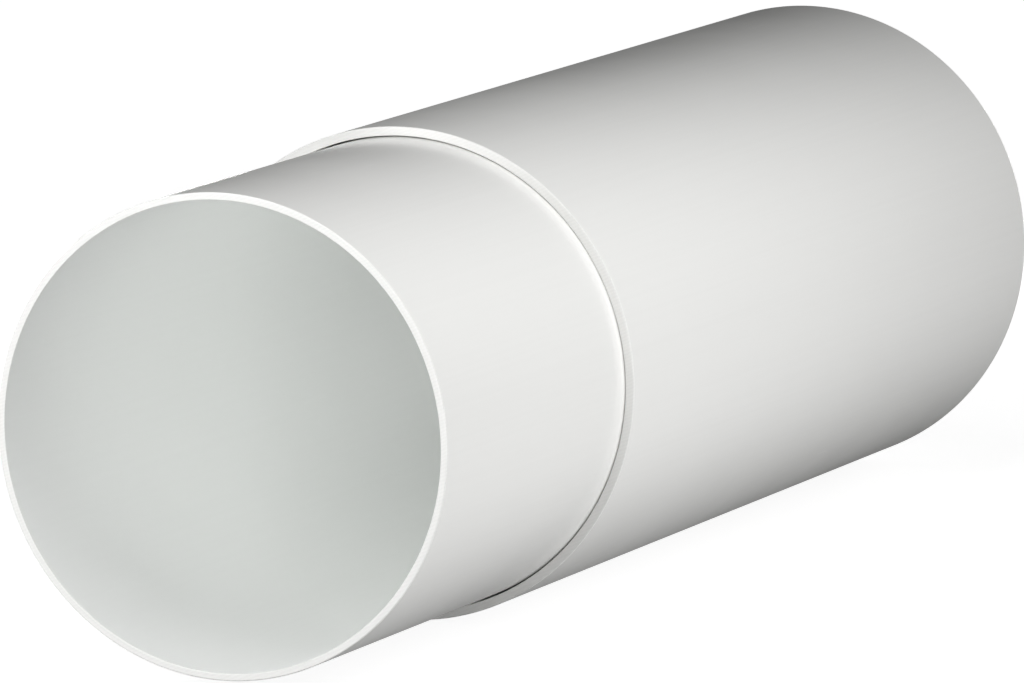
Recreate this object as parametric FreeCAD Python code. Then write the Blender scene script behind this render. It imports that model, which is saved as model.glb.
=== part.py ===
"""Telescopic wall vent sleeve: a plain round tube that slides inside a slightly wider one.

The sleeve lines a duct hole through a wall. The wider tube is built into the wall, and the
narrower one is pulled out of its mouth until the sleeve is as long as the wall is thick.
Both are extruded plastic pipe, sawn square and deburred at the ends.

Frame: +Y runs along the common axis, from the room to the outdoor side, and +Z is up.
The origin is on the axis, halfway along the wider tube. Lengths are in millimetres.
"""

import FreeCAD, Part
import os

# Driving dimensions
duct_bore = 125.0  # inside diameter of the inner tube, the nominal duct size
inner_wall = 2.0
outer_wall = 2.5
slide_clearance = 0.5  # radial gap between the tubes, all the way round
inner_length = 300.0
outer_length = 300.0
pulled_out = 120.0  # how far the inner tube stands out of the outer tube's mouth
outside_break = 0.4  # deburred edge on the outside of a sawn end
bore_break = 0.25  # deburred edge on the inside of a sawn end
largest_break_share = 0.4  # of the wall, so that a flat ring is always left on a sawn end

# Radii, each worked out from the tube inside it
inner_bore_radius = duct_bore / 2
inner_outside_radius = inner_bore_radius + inner_wall
outer_bore_radius = inner_outside_radius + slide_clearance
outer_outside_radius = outer_bore_radius + outer_wall

# Places along the axis
mouth_y = -outer_length / 2
inner_start_y = mouth_y - pulled_out

origin = FreeCAD.Vector(0, 0, 0)
duct_axis = FreeCAD.Vector(0, 1, 0)


def sawn_tube(bore_radius, outside_radius, start_y, length):
    """A length of pipe along +Y: its wall section, with deburred ends, turned about the axis."""
    end_y = start_y + length
    largest_break = largest_break_share * (outside_radius - bore_radius)
    outside = min(outside_break, largest_break)
    inside = min(bore_break, largest_break)
    outline = [
        (bore_radius + inside, start_y),
        (outside_radius - outside, start_y),
        (outside_radius, start_y + outside),
        (outside_radius, end_y - outside),
        (outside_radius - outside, end_y),
        (bore_radius + inside, end_y),
        (bore_radius, end_y - inside),
        (bore_radius, start_y + inside),
    ]
    corners = [FreeCAD.Vector(radius, y, 0) for radius, y in outline]
    section = Part.Face(Part.makePolygon(corners + corners[:1]))
    return section.revolve(origin, duct_axis, 360)


def outer_tube():
    """The wider tube, built into the wall and open from its mouth to its outdoor end."""
    return sawn_tube(outer_bore_radius, outer_outside_radius, mouth_y, outer_length)


def inner_tube():
    """The narrower tube, part of its length inside the wider one."""
    return sawn_tube(inner_bore_radius, inner_outside_radius, inner_start_y, inner_length)


def main():
    os.makedirs("parts", exist_ok=True)
    for name, solid in (("outer_tube", outer_tube()), ("inner_tube", inner_tube())):
        solid.exportStep(f"parts/{name}.step")
        print(f"{name}: {solid.ShapeType}, valid {solid.isValid()}, {solid.Volume / 1000:.2f} cm3")


main()
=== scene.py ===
import math

import bmesh
import bpy
from mathutils import Matrix, Vector


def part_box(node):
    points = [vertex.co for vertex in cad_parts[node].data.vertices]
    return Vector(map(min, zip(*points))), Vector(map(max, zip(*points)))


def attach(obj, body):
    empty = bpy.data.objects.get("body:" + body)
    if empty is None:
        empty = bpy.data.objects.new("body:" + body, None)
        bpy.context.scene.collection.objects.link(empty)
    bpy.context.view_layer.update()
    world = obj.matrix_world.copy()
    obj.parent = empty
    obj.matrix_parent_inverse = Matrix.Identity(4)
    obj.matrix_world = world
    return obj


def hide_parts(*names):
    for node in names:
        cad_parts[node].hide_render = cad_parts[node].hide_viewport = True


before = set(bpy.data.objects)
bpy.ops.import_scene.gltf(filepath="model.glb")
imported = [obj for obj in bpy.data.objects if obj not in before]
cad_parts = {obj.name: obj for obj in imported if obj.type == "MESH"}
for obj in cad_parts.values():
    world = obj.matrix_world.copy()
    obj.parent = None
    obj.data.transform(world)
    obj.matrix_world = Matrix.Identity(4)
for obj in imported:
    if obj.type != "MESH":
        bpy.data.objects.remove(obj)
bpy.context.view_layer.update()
print("frame loaded:", ", ".join(sorted(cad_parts)))

mm = 0.001  # sizes below are in millimetres, the scene is in metres


def linearFromHex(code):
    channels = [int(code[i:i + 2], 16) / 255 for i in (1, 3, 5)]
    linear = [c / 12.92 if c <= 0.04045 else ((c + 0.055) / 1.055) ** 2.4 for c in channels]
    return (*linear, 1.0)


def addNode(tree, kind, settings=None, links=None):
    node = tree.nodes.new(kind)
    for name, value in (settings or {}).items():
        if isinstance(name, int) or name in node.inputs:
            node.inputs[name].default_value = value
        else:
            setattr(node, name, value)
    for name, source in (links or {}).items():
        tree.links.new(source, node.inputs[name])
    return node


def newMaterial(name):
    material = bpy.data.materials.new(name)
    material.use_nodes = True
    material.node_tree.nodes.clear()
    return material, material.node_tree


# The Mix node has sockets for each kind of data under the same names, so they go by number
mixShare = 0
mixNumberA, mixNumberB, mixedNumber = 2, 3, 0
mixColourA, mixColourB, mixedColour = 6, 7, 2

# Extruded rigid PVC: pulled through a smooth die and a sizing sleeve, so it is an opaque white
# with a soft gloss, very faint lines along the pipe, patches that are a little glossier than others,
# and dull rubs from sliding.
outsidePvc = {
    "name": "extruded rigid PVC",
    "white": "#F1F1EF",
    "greyer": "#F0F0EE",  # thin bands of the melt along the pipe
    "ior": 1.53,
    "specular": 0.3,
    "roughness": (0.20, 0.24),  # glossiest and dullest patch
    "dieLinePitch": 1.2,  # mm round the pipe, real ones are about 0.3, drawn coarser so that they show
    "dieLineLength": 240.0,  # mm along the pipe
    "dieLineDepth": 0.0001,  # mm
    "patchSize": 45.0,  # mm
    "rubPitch": 1.8,  # mm round the pipe
    "rubLength": 26.0,  # mm along the pipe
    "rubDulling": 0.02,  # added roughness
}
# The bore cools in air on the mandrel's side and no sleeve polishes it, so it is duller and a trace greener.
# Its whites are also painted brighter than the outside's: painted light that lifts the shade inside the pipe.
borePvcPaintedBrighter = {
    "name": "extruded rigid PVC bore painted brighter",
    # painted light: both whites are brighter than the outside skin's, standing in for light deep in the bore
    "white": "#F9FAF9",
    "greyer": "#F8F9F8",
    "ior": 1.53,
    "specular": 0.3,
    "roughness": (0.52, 0.60),
    "dieLinePitch": 1.6,  # mm
    "dieLineLength": 240.0,  # mm
    "dieLineDepth": 0.0001,  # mm
    "patchSize": 60.0,  # mm
    "rubPitch": 3.0,  # mm
    "rubLength": 40.0,  # mm
    "rubDulling": 0.03,
}
# Both skins: how fine each noise is, and the values of it where a mark begins and where it is full
pipeMarks = {
    "dieLineNoise": {"Scale": 1.0, "Detail": 3.0, "Roughness": 0.55},
    "meltContrast": (0.35, 0.65),
    "patchDetail": 2.0,
    "patchContrast": (0.3, 0.7),
    "rubNoise": {"Scale": 1.0, "Detail": 4.0, "Roughness": 0.7},
    "rubContrast": (0.60, 0.72),
}


def makeExtrudedPvc(values, marks):
    material, tree = newMaterial(values["name"])
    place = addNode(tree, "ShaderNodeTexCoord").outputs["Object"]
    linesRound, linesAlong = 1 / (values["dieLinePitch"] * mm), 1 / (values["dieLineLength"] * mm)
    linePlace = addNode(tree, "ShaderNodeMapping", {"Scale": (linesRound, linesAlong, linesRound)},
                        {"Vector": place})
    dieLines = addNode(tree, "ShaderNodeTexNoise", marks["dieLineNoise"],
                       {"Vector": linePlace.outputs["Vector"]})
    patches = addNode(tree, "ShaderNodeTexNoise",
                      {"Scale": 1 / (values["patchSize"] * mm), "Detail": marks["patchDetail"]},
                      {"Vector": place})
    rubsRound, rubsAlong = 1 / (values["rubPitch"] * mm), 1 / (values["rubLength"] * mm)
    rubPlace = addNode(tree, "ShaderNodeMapping", {"Scale": (rubsRound, rubsAlong, rubsRound)},
                       {"Vector": place})
    rubs = addNode(tree, "ShaderNodeTexNoise", marks["rubNoise"], {"Vector": rubPlace.outputs["Vector"]})
    begins, full = marks["rubContrast"]
    rubbed = addNode(tree, "ShaderNodeMapRange",
                     {"From Min": begins, "From Max": full, "To Min": 0.0, "To Max": values["rubDulling"]},
                     {"Value": rubs.outputs["Fac"]})
    begins, full = marks["meltContrast"]
    melt = addNode(tree, "ShaderNodeMapRange",
                   {"From Min": begins, "From Max": full, "To Min": 0.0, "To Max": 1.0},
                   {"Value": dieLines.outputs["Fac"]})
    colour = addNode(tree, "ShaderNodeMix",
                     {"data_type": "RGBA", mixColourA: linearFromHex(values["white"]),
                      mixColourB: linearFromHex(values["greyer"])},
                     {mixShare: melt.outputs["Result"]})
    glossiest, dullest = values["roughness"]
    begins, full = marks["patchContrast"]
    gloss = addNode(tree, "ShaderNodeMapRange",
                    {"From Min": begins, "From Max": full, "To Min": glossiest, "To Max": dullest},
                    {"Value": patches.outputs["Fac"]})
    dulled = addNode(tree, "ShaderNodeMath", {"operation": "ADD"},
                     {0: gloss.outputs["Result"], 1: rubbed.outputs["Result"]})
    relief = addNode(tree, "ShaderNodeBump", {"Strength": 1.0, "Distance": values["dieLineDepth"] * mm},
                     {"Height": dieLines.outputs["Fac"]})
    skin = addNode(tree, "ShaderNodeBsdfPrincipled",
                   {"IOR": values["ior"], "Specular IOR Level": values["specular"]},
                   {"Base Color": colour.outputs[mixedColour], "Roughness": dulled.outputs["Value"],
                    "Normal": relief.outputs["Normal"]})
    addNode(tree, "ShaderNodeOutputMaterial", None, {"Surface": skin.outputs["BSDF"]})
    return material


# Sawn PVC: the blade leaves the cut matt, with fine near-parallel tooth marks that catch the light.
sawnPvc = {
    "name": "sawn PVC",
    "white": "#EDEDEB",
    "mark": "#E6E6E4",
    "ior": 1.53,
    "roughness": (0.42, 0.56),
    "toothPitch": 0.9,  # mm between marks, real ones are about 0.3, drawn coarser so that they show
    "toothDepth": 0.006,  # mm
    "toothSlant": 24,  # degrees, how the blade crossed the pipe
    "toothWander": {"Distortion": 2.5, "Detail": 2.0, "Detail Scale": 0.6},  # how the marks stray
    "grit": 0.5,  # mm
    "gritDetail": 3.0,
    "gritShare": 0.5,  # grit among the tooth marks
    "cutContrast": (0.2, 0.8),
}
waveTurn = math.pi / 10  # length of one band of the wave pattern at scale 1


def makeSawnPvc(values):
    material, tree = newMaterial(values["name"])
    place = addNode(tree, "ShaderNodeTexCoord").outputs["Object"]
    slant = (0, math.radians(values["toothSlant"]), 0)
    turned = addNode(tree, "ShaderNodeMapping", {"Rotation": slant}, {"Vector": place})
    teeth = addNode(tree, "ShaderNodeTexWave",
                    {"wave_type": "BANDS", "bands_direction": "Z",
                     "Scale": waveTurn / (values["toothPitch"] * mm), **values["toothWander"]},
                    {"Vector": turned.outputs["Vector"]})
    grit = addNode(tree, "ShaderNodeTexNoise",
                   {"Scale": 1 / (values["grit"] * mm), "Detail": values["gritDetail"]}, {"Vector": place})
    blend = addNode(tree, "ShaderNodeMix", {"data_type": "FLOAT", mixShare: values["gritShare"]},
                    {mixNumberA: teeth.outputs["Fac"], mixNumberB: grit.outputs["Fac"]})
    cutMarks = blend.outputs[mixedNumber]
    colour = addNode(tree, "ShaderNodeMix",
                     {"data_type": "RGBA", mixColourA: linearFromHex(values["mark"]),
                      mixColourB: linearFromHex(values["white"])},
                     {mixShare: cutMarks})
    smoothest, roughest = values["roughness"]
    begins, full = values["cutContrast"]
    gloss = addNode(tree, "ShaderNodeMapRange",
                    {"From Min": begins, "From Max": full, "To Min": smoothest, "To Max": roughest},
                    {"Value": cutMarks})
    relief = addNode(tree, "ShaderNodeBump", {"Strength": 1.0, "Distance": values["toothDepth"] * mm},
                     {"Height": cutMarks})
    cut = addNode(tree, "ShaderNodeBsdfPrincipled", {"IOR": values["ior"]},
                  {"Base Color": colour.outputs[mixedColour], "Roughness": gloss.outputs["Result"],
                   "Normal": relief.outputs["Normal"]})
    addNode(tree, "ShaderNodeOutputMaterial", None, {"Surface": cut.outputs["BSDF"]})
    return material


tubeFinishes = [
    makeExtrudedPvc(outsidePvc, pipeMarks),
    makeExtrudedPvc(borePvcPaintedBrighter, pipeMarks),
    makeSawnPvc(sawnPvc),
]
outsideFinish, boreFinish, cutFinish = range(len(tubeFinishes))
print("finishes made:", ", ".join(finish.name for finish in tubeFinishes))

# Each tube is its wall section turned about the Y axis, with the deburred edges rounded. Sizes are in mm.
outerTube = {
    "boreRadius": 65.0, "outsideRadius": 67.5,
    "outsideEdge": 0.4, "boreEdge": 0.25,  # radius of the rounded edges
    "lies": (0.0, 0.0),  # to the right and up
}
# The inner one lies to one side of its 0.5 mm of play, as a loose pipe does.
innerTube = {
    "boreRadius": 62.5, "outsideRadius": 64.5,
    "outsideEdge": 0.4, "boreEdge": 0.25,
    "lies": (0.38, 0.15),
}
tubeMesh = {"around": 288, "along": 24, "acrossCut": 3, "roundSteps": 5}  # faces


def wallSection(tube, startY, endY):
    # radius, y, normal's radial and axial part, and the finish of the strip that starts at the point
    outside, bore = tube["outsideRadius"] * mm, tube["boreRadius"] * mm
    outer, inner = tube["outsideEdge"] * mm, tube["boreEdge"] * mm
    # the rounded corners: centre, radius, and the angle where the round starts
    corners = [
        (outside - outer, endY - outer, outer, 0),
        (bore + inner, endY - inner, inner, 90),
        (bore + inner, startY + inner, inner, 180),
        (outside - outer, startY + outer, outer, 270),
    ]
    runs = [tubeMesh["acrossCut"], tubeMesh["along"], tubeMesh["acrossCut"], tubeMesh["along"]]
    finishes = [cutFinish, boreFinish, cutFinish, outsideFinish]
    rounds = []
    for radius, y, size, turn in corners:
        rounded = []
        for step in range(tubeMesh["roundSteps"] + 1):
            angle = math.radians(turn + 90 * step / tubeMesh["roundSteps"])
            outward, forward = math.cos(angle), math.sin(angle)
            rounded.append((radius + size * outward, y + size * forward, outward, forward))
        rounds.append(rounded)
    points = []
    for i, rounded in enumerate(rounds):
        points += [(*point, cutFinish) for point in rounded[:-1]]
        radius, y, outward, forward = rounded[-1]
        nextRadius, nextY = rounds[(i + 1) % len(rounds)][0][:2]
        for step in range(runs[i]):
            share = step / runs[i]
            points.append((radius + (nextRadius - radius) * share, y + (nextY - y) * share,
                           outward, forward, finishes[i]))
    return points


def makeTube(name, tube, node, body):
    low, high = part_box(node)
    section = wallSection(tube, low.y, high.y)
    around = tubeMesh["around"]
    sideways, upwards = (value * mm for value in tube["lies"])
    shape = bmesh.new()
    rings, normals, ringFinishes = [], [], []
    for radius, y, outward, forward, finish in section:
        ring = []
        for i in range(around):
            turn = 2 * math.pi * i / around
            place = (radius * math.cos(turn) + sideways, y, radius * math.sin(turn) + upwards)
            ring.append(shape.verts.new(place))
            normals.append((outward * math.cos(turn), forward, outward * math.sin(turn)))
        rings.append(ring)
        ringFinishes.append(finish)
    for i, ring in enumerate(rings):
        ahead = rings[(i + 1) % len(rings)]
        for j in range(around):
            k = (j + 1) % around
            face = shape.faces.new((ring[j], ahead[j], ahead[k], ring[k]))
            face.smooth = True
            face.material_index = ringFinishes[i]
    mesh = bpy.data.meshes.new(name)
    shape.to_mesh(mesh)
    shape.free()
    # the section's own normals, so that flats stay flat beside the rounds
    mesh.normals_split_custom_set_from_vertices(normals)
    piece = bpy.data.objects.new(name, mesh)
    bpy.context.scene.collection.objects.link(piece)
    for finish in tubeFinishes:
        mesh.materials.append(finish)
    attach(piece, body)
    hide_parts(node)
    print(name, "made:", len(mesh.polygons), "faces")


makeTube("outerTubeSkin", outerTube, "outer_tube", "wall_part")
makeTube("innerTubeSkin", innerTube, "inner_tube", "sliding_part")

# Studio: white paper under and behind the sleeve. It is seen as white, and lights the sleeve only a little.
paper = {
    "size": 14.0,  # metres
    "white": "#FFFFFF",
    "bounce": "#9A9A9A",  # what it throws back onto the sleeve
    "glow": (0.88, 1.0),  # beside the sleeve, where its shadow shows, and further off
    "glowReach": (0.3, 0.9),  # metres from the middle, where the first glow ends and the second begins
    "floorInGloss": 0.2,  # share of the white that the glossy skin shows, beside the near end
    "glossReach": (0.25, -0.3),  # metres along the axis, where none of it is left and where all of it shows
    "roomInGloss": 0.004,
    "around": 0.005,  # light from the rest of the room
}


def seenAsWhite(tree, inGloss, fading=None):
    rays = addNode(tree, "ShaderNodeLightPath")
    direct = addNode(tree, "ShaderNodeMath", {"operation": "MAXIMUM"},
                     {0: rays.outputs["Is Camera Ray"], 1: rays.outputs["Is Transmission Ray"]})
    glossy = addNode(tree, "ShaderNodeMath", {"operation": "MULTIPLY", 1: inGloss},
                     {0: rays.outputs["Is Glossy Ray"]})
    if fading:
        glossy = addNode(tree, "ShaderNodeMath", {"operation": "MULTIPLY"}, {0: glossy.outputs[0], 1: fading})
    return addNode(tree, "ShaderNodeMath", {"operation": "MAXIMUM"},
                   {0: direct.outputs[0], 1: glossy.outputs[0]}).outputs[0]


def makeFloor(values):
    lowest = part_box("outer_tube")[0].z
    half = values["size"] / 2
    corners = [(-half, -half, lowest), (half, -half, lowest), (half, half, lowest), (-half, half, lowest)]
    mesh = bpy.data.meshes.new("paperFloor")
    mesh.from_pydata(corners, [], [(0, 1, 2, 3)])
    floor = bpy.data.objects.new("paperFloor", mesh)
    bpy.context.scene.collection.objects.link(floor)
    material, tree = newMaterial("white paper")
    matt = addNode(tree, "ShaderNodeBsdfDiffuse", {"Color": linearFromHex(values["bounce"])})
    place = addNode(tree, "ShaderNodeTexCoord").outputs["Object"]
    reach = addNode(tree, "ShaderNodeVectorMath", {"operation": "LENGTH"}, {0: place})
    nearGlow, farGlow = values["glow"]
    nearReach, farReach = values["glowReach"]
    strength = addNode(tree, "ShaderNodeMapRange",
                       {"From Min": nearReach, "From Max": farReach, "To Min": nearGlow, "To Max": farGlow},
                       {"Value": reach.outputs["Value"]})
    glow = addNode(tree, "ShaderNodeEmission", {"Color": linearFromHex(values["white"])},
                   {"Strength": strength.outputs["Result"]})
    bright = addNode(tree, "ShaderNodeAddShader", None, {0: matt.outputs[0], 1: glow.outputs[0]})
    along = addNode(tree, "ShaderNodeSeparateXYZ", None, {0: place}).outputs["Y"]
    noneLeft, allLeft = values["glossReach"]
    fading = addNode(tree, "ShaderNodeMapRange",
                     {"From Min": noneLeft, "From Max": allLeft, "To Min": 0.0, "To Max": 1.0},
                     {"Value": along})
    white = seenAsWhite(tree, values["floorInGloss"], fading.outputs["Result"])
    mixed = addNode(tree, "ShaderNodeMixShader", None, {0: white, 1: matt.outputs[0], 2: bright.outputs[0]})
    addNode(tree, "ShaderNodeOutputMaterial", None, {"Surface": mixed.outputs[0]})
    mesh.materials.append(material)


def makeRoom(values):
    world = bpy.data.worlds.new("studio")
    world.use_nodes = True
    tree = world.node_tree
    tree.nodes.clear()
    white = linearFromHex(values["white"])
    dim = addNode(tree, "ShaderNodeBackground", {"Color": white, "Strength": values["around"]})
    bright = addNode(tree, "ShaderNodeBackground", {"Color": white, "Strength": 1.0})
    mixed = addNode(tree, "ShaderNodeMixShader", None,
                    {0: seenAsWhite(tree, values["roomInGloss"]), 1: dim.outputs[0], 2: bright.outputs[0]})
    addNode(tree, "ShaderNodeOutputWorld", None, {"Surface": mixed.outputs[0]})
    bpy.context.scene.world = world


makeFloor(paper)
makeRoom(paper)

# Soft boxes: the place each one faces (mm along the axis), where it stands as seen from there (degrees and
# metres), its size in metres, its power in watts, and whether the gloss shows it. The two at the side would
# turn the skin plain white where they are reflected, so it doesn't show them.
lamps = {
    "frontRightBox": {"facesY": -300, "azimuth": 35, "elevation": 1, "away": 0.9,
                      "size": (0.26, 0.12), "watts": 1.72, "inGloss": True},
    "frontBox": {"facesY": -300, "azimuth": 20, "elevation": 2, "away": 0.9,
                 "size": (0.26, 0.12), "watts": 0.9, "inGloss": True},
    "frontLeftBox": {"facesY": -300, "azimuth": -25, "elevation": 12, "away": 0.6,
                     "size": (0.3, 0.2), "watts": 2.1, "inGloss": True},
    "upperFrontBox": {"facesY": -300, "azimuth": 5, "elevation": 30, "away": 0.6,
                      "size": (0.3, 0.3), "watts": 0.82, "inGloss": True},
    "overheadBox": {"facesY": -250, "azimuth": 0, "elevation": 85, "away": 0.6,
                    "size": (0.4, 0.4), "watts": 2.0, "inGloss": True},
    "sideBox": {"facesY": -250, "azimuth": 103, "elevation": 5, "away": 0.6,
                "size": (0.3, 0.2), "watts": 1.03, "inGloss": False},
    "upperSideBox": {"facesY": -250, "azimuth": 110, "elevation": 28, "away": 0.6,
                     "size": (0.3, 0.3), "watts": 0.4, "inGloss": True},
    "sideStrip": {"facesY": -100, "azimuth": 100, "elevation": 4, "away": 0.9,
                  "size": (0.6, 0.2), "watts": 2.27, "inGloss": False},
    "farEndBox": {"facesY": -60, "azimuth": 180, "elevation": 0, "away": 0.75,
                  "size": (0.1, 0.1), "watts": 0.78, "inGloss": True},
    "leftStrip": {"facesY": -60, "azimuth": -100, "elevation": -4, "away": 0.6,
                  "size": (0.7, 0.04), "watts": 1.5, "inGloss": True},
    "backStrip": {"facesY": 150, "azimuth": -115, "elevation": -4, "away": 0.5,
                  "size": (0.4, 0.04), "watts": 1.2, "inGloss": True},
}


def towards(azimuth, elevation):
    a, e = math.radians(azimuth), math.radians(elevation)
    return Vector((math.sin(a) * math.cos(e), -math.cos(a) * math.cos(e), math.sin(e)))


def makeLamp(name, values):
    data = bpy.data.lights.new(name, "AREA")
    data.shape = "RECTANGLE"
    data.size, data.size_y = values["size"]
    data.energy = values["watts"]
    lamp = bpy.data.objects.new(name, data)
    away = towards(values["azimuth"], values["elevation"])
    lamp.location = Vector((0, values["facesY"] * mm, 0)) + away * values["away"]
    lamp.rotation_euler = away.to_track_quat("Z", "Y").to_euler()
    lamp.visible_camera = False
    lamp.visible_glossy = values["inGloss"]
    bpy.context.scene.collection.objects.link(lamp)


for lampName, lampValues in lamps.items():
    makeLamp(lampName, lampValues)
print("stage and lamps made:", ", ".join(lamps))

# Camera: where it stands as seen from the sleeve, and where it sees the middle of the near rim
cameraSetup = {
    "azimuth": 23.06, "elevation": 8.53,  # degrees
    "lens": 390.0, "sensor": 36.0,  # mm
    "rimAhead": 2894.8, "rimRight": -76.0, "rimDown": 25.05,  # mm
    "seesTo": 50.0,  # metres
}


def makeCamera(values):
    back = towards(values["azimuth"], values["elevation"])
    a = math.radians(values["azimuth"])
    right = Vector((math.cos(a), math.sin(a), 0))
    up = back.cross(right)
    data = bpy.data.cameras.new("camera")
    data.lens = values["lens"]
    data.sensor_width = values["sensor"]
    data.clip_end = values["seesTo"]
    camera = bpy.data.objects.new("camera", data)
    sideways, upwards = (value * mm for value in innerTube["lies"])
    rim = Vector((sideways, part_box("inner_tube")[0].y, upwards))
    place = rim - (right * values["rimRight"] - up * values["rimDown"] - back * values["rimAhead"]) * mm
    turn = Matrix((right, up, back)).transposed()
    camera.matrix_world = Matrix.Translation(place) @ turn.to_4x4()
    bpy.context.scene.collection.objects.link(camera)
    bpy.context.scene.camera = camera


makeCamera(cameraSetup)
print("camera placed")

wallBounces = 12  # light goes to and fro many times inside a white pipe
bpy.context.scene.cycles.diffuse_bounces = wallBounces
bpy.context.scene.view_settings.view_transform = "Standard"
